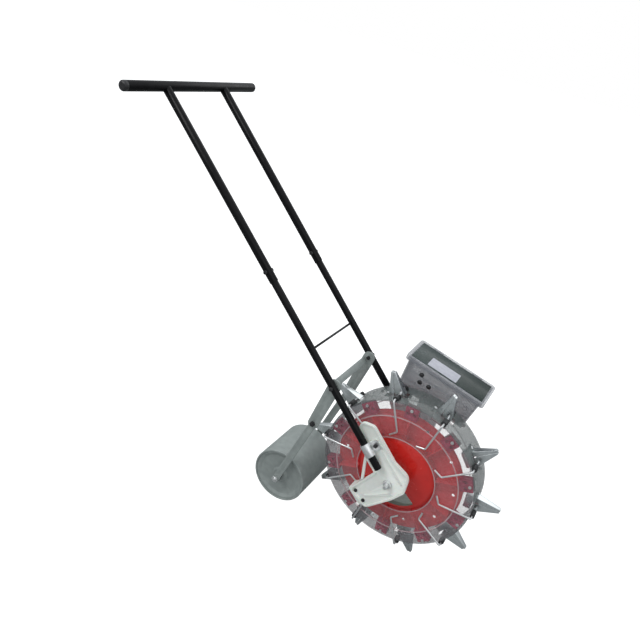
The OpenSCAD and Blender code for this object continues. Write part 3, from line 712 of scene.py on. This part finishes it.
# %% Draw the duckbill's outlines
PIN_X, PIN_Z = 18, 210.5
WIRE_RADIUS, WIRE_BEND = 2.5, 5
WIRE_SIDE, WIRE_END = -56, 26
FRONT_HALF = [(2.5, 204), (27, 204), (27, 206), (5.5, 264.5), (0.15, 264.5), (0.15, 213), (2.5, 211)]
BACK_HALF = [(-14, 178), (26, 178), (26, 196), (-0.15, 196), (-0.15, 266), (-5.5, 266), (-14, 206)]
PIN_BLOCK = rounded([(11.2, 205), (24.8, 205), (25, 212.5), (22.5, 216), (13.5, 216), (11, 212.5)], 1.6)
WIRE_PATH = [(PIN_X, WIRE_END, PIN_Z), (PIN_X, WIRE_SIDE, PIN_Z), (20, WIRE_SIDE, 127),
             (-2, WIRE_SIDE, 117)]
FACES_ALONG = 0.93  # how squarely a face must point one way to count as facing it


def front_is_open(face):
    """The front half is open behind and at its foot."""
    return face.normal.x < -FACES_ALONG or face.normal.z < -FACES_ALONG


def back_is_open(face):
    """The back half is open ahead, and its funnel is open above and below."""
    opens_ahead = face.normal.x > FACES_ALONG and face.center.x < 1
    return opens_ahead or (abs(face.normal.z) > FACES_ALONG and face.center.z < 200)


print("outlines", len(FRONT_HALF), len(BACK_HALF), len(PIN_BLOCK))

# %% Make the ten duckbills
for k in range(10):
    number, turn = f"{k + 1:02d}", FIRST_BILL + k * PITCH
    body = "duckbill_" + number
    jaw = folded("front_jaw_" + number, FRONT_HALF, front_is_open)
    settle(jaw, "galvanised", body, ["jaw_" + number], turn)
    lever = soften(rod("bent_wire_" + number, WIRE_RADIUS, WIRE_PATH, WIRE_BEND), 0.5, 2, 50)
    settle(lever, "zinc", body, ["lever_" + number], turn)
    back = folded("back_jaw_" + number, BACK_HALF, back_is_open)
    settle(back, "galvanised", "seed_drum", ["fixed_jaws"], turn)
    tab = soften(block("back_jaw_tab_" + number, (13, 24, 2), (-20.6, 0, 200.2)), 0.5, 2)
    settle(tab, "galvanised", "seed_drum", ["fixed_jaws"], turn)
    for low, high in ((-44, -24), (16, 26)):
        holder = soften(plate("pin_block_" + number, PIN_BLOCK, low, high), 0.8, 2, 35)
        settle(holder, "black_plastic", "seed_drum", ["hinge_blocks"], turn)
print("duckbills built")

# %% [markdown]
# ## Press roller
# The roller is rolled sheet with its edges turned in over two pressed end caps. A cylinder with
# inset ends would come close, but the lathe gives the rounded edge, the recess and the raised ring
# round the bush in one outline each.

# %% Turn the roller
ROLLER_STEPS = 128
TREAD = [(80, -80), (79, -82), (75, -82), (75, -79), (77.5, -78), (77.5, 78), (75, 79), (75, 82),
         (79, 82), (80, 80)]
END_CAP = [(77.9, 77), (77.9, 79), (70, 79), (62, 74.5), (24, 74.5), (18, 80), (9.05, 80),
           (9.05, 78), (17, 78), (23, 72.5), (63, 72.5), (71, 77)]
roller_mm = (ROLLER - AXLE) / MM
at = (roller_mm.x, roller_mm.z)
shell = soften(lathe("roller_tread", TREAD, ROLLER_STEPS, at), 0.7, 3, 20)
settle(shell, "grey_paint", "press_roller", ["roller_shell"])
for sign in (-1, 1):
    outline = [(radius, sign * y) for radius, y in END_CAP]
    cap = soften(lathe("roller_end", outline, ROLLER_STEPS, at), 0.9, 3, 15)
    settle(cap, "grey_paint", "press_roller", ["roller_end_caps"])
print("roller centre in millimetres", [round(v, 1) for v in roller_mm])

# %% [markdown]
# ## Hopper
# The hopper leans forward with the machine, so its parts are drawn level and then turned together.
# The lid is a shallow moulded tray, upside down: rounded corners, a raised rim round a sunken
# panel, and a hollow underside that drops over the box. A dark panel and a blank label lie in it.

# %% Mould the lid
HOPPER_LEAN = 9.4
HOPPER_X, HOPPER_Y, HOPPER_Z = 13, 112, 250
HOPPER = (Matrix.Translation((HOPPER_X, HOPPER_Y, HOPPER_Z))
          @ Matrix.Rotation(radians(HOPPER_LEAN), 4, "Y"))
LID_LENGTH, LID_WIDTH, LID_HEIGHT = 228, 114, 14
LID_WALL = 1.7
lid = block("lid_moulding", (LID_LENGTH, LID_WIDTH, LID_HEIGHT), (0, 0, 1), 10)
choose(lid, "FACE", lambda face: face.normal.z > 0.9)
bpy.ops.mesh.inset(thickness=5)
pull(0, 0, -3)
bpy.ops.mesh.inset(thickness=1.5)
pull(0, 0, 1.2)
bpy.ops.object.mode_set(mode="OBJECT")
choose(lid, "FACE", lambda face: face.normal.z < -0.9 and face.center.z < -5)
bpy.ops.mesh.inset(thickness=LID_WALL)
bpy.ops.transform.resize(value=(0.964, 1, 1))
pull(0, 0, 6.35)
bpy.ops.object.mode_set(mode="OBJECT")
lid.matrix_world = HOPPER
settle(soften(lid, 0.7, 3, 25), "smoke_plastic", "hopper_cover", ["hopper_lid"])
print("lid faces", len(lid.data.polygons))

# %% [markdown]
# The lid swings on a steel pin along its far edge. Two knuckles run round that pin, and a lug joins
# each of them to the lid's skirt.

# %% Add the lid's knuckles and lugs
HINGE_Y, HINGE_Z = 61.5, -10.5
for x in (-60, 60):
    ends = [(x - 15, HINGE_Y, HINGE_Z), (x + 15, HINGE_Y, HINGE_Z)]
    knuckle = rod("lid_knuckle", 4, ends, 1, 24)
    knuckle.matrix_world = HOPPER
    settle(soften(knuckle, 0.5, 2), "smoke_plastic", "hopper_cover", ["hopper_lid"])
    lug = block("lid_lug", (30, 4.6, 14), (x, 58.4, -3.5))
    lug.matrix_world = HOPPER
    settle(soften(lug, 0.5, 2), "smoke_plastic", "hopper_cover", ["hopper_lid"])
print("two knuckles and two lugs")

# %% [markdown]
# The tinted panel and the blank label are thin plates of their own, laid into the tray, because a
# painted patch on the tray would have no edge to catch the light.

# %% Lay the panel and the label
panel = block("lid_panel", (208, 94, 0.7), (0, 0, 6.45), 4)
panel.matrix_world = HOPPER
settle(soften(panel, 0.15, 2), "lid_tint", "hopper_cover")
label = block("blank_label", (84, 46, 0.4), (-16, -18, 6.95), 3)
label.matrix_world = HOPPER
settle(soften(label, 0.1, 1), "label_film", "hopper_cover")
print("panel and label laid")

# %% [markdown]
# The box below has moulded beads along each long wall that keep the thin plastic flat, and three
# dark bolts through its near wall. The walls draw in towards the bottom, so beads and bolts are
# placed by how deep they sit.

# %% Stiffen and bolt the box
BOX_HALF_LENGTH, BOX_HALF_WIDTH, BOX_DEPTH = 100, 50.6, 92
SLOPE = 0.043  # how far each long wall draws in per millimetre of depth
for depth in (30, 58):
    reach = BOX_HALF_LENGTH * (1 - depth / BOX_DEPTH * 0.06)
    for side in (-1, 1):
        wall = side * (BOX_HALF_WIDTH - depth * SLOPE)
        bead = rod("box_bead", 1.5, [(-reach, wall, -depth), (reach, wall, -depth)], 1, 12)
        bead.matrix_world = HOPPER
        settle(soften(bead, 0.5, 2, 50), "smoke_plastic", "frame")
for x, z in ((-45.5, 235.5), (-44.5, 212.5), (-18.5, 211.5)):
    depth = ((x - HOPPER_X) * sin(radians(-HOPPER_LEAN))
             + (HOPPER_Z - z) * cos(radians(HOPPER_LEAN)))
    face = HOPPER_Y - 51 + depth * SLOPE
    outline = [(0.01, face - 3.6), (3, face - 3.4), (4.6, face - 2.4), (4.8, face - 0.6),
               (6.5, face - 0.5), (6.5, face + 0.4), (0.01, face + 0.4)]
    head = lathe("box_bolt", outline, 32, (x, z))
    settle(soften(head, 0.2, 2), "dark_bolt", "frame")
print("box beads and bolts added")
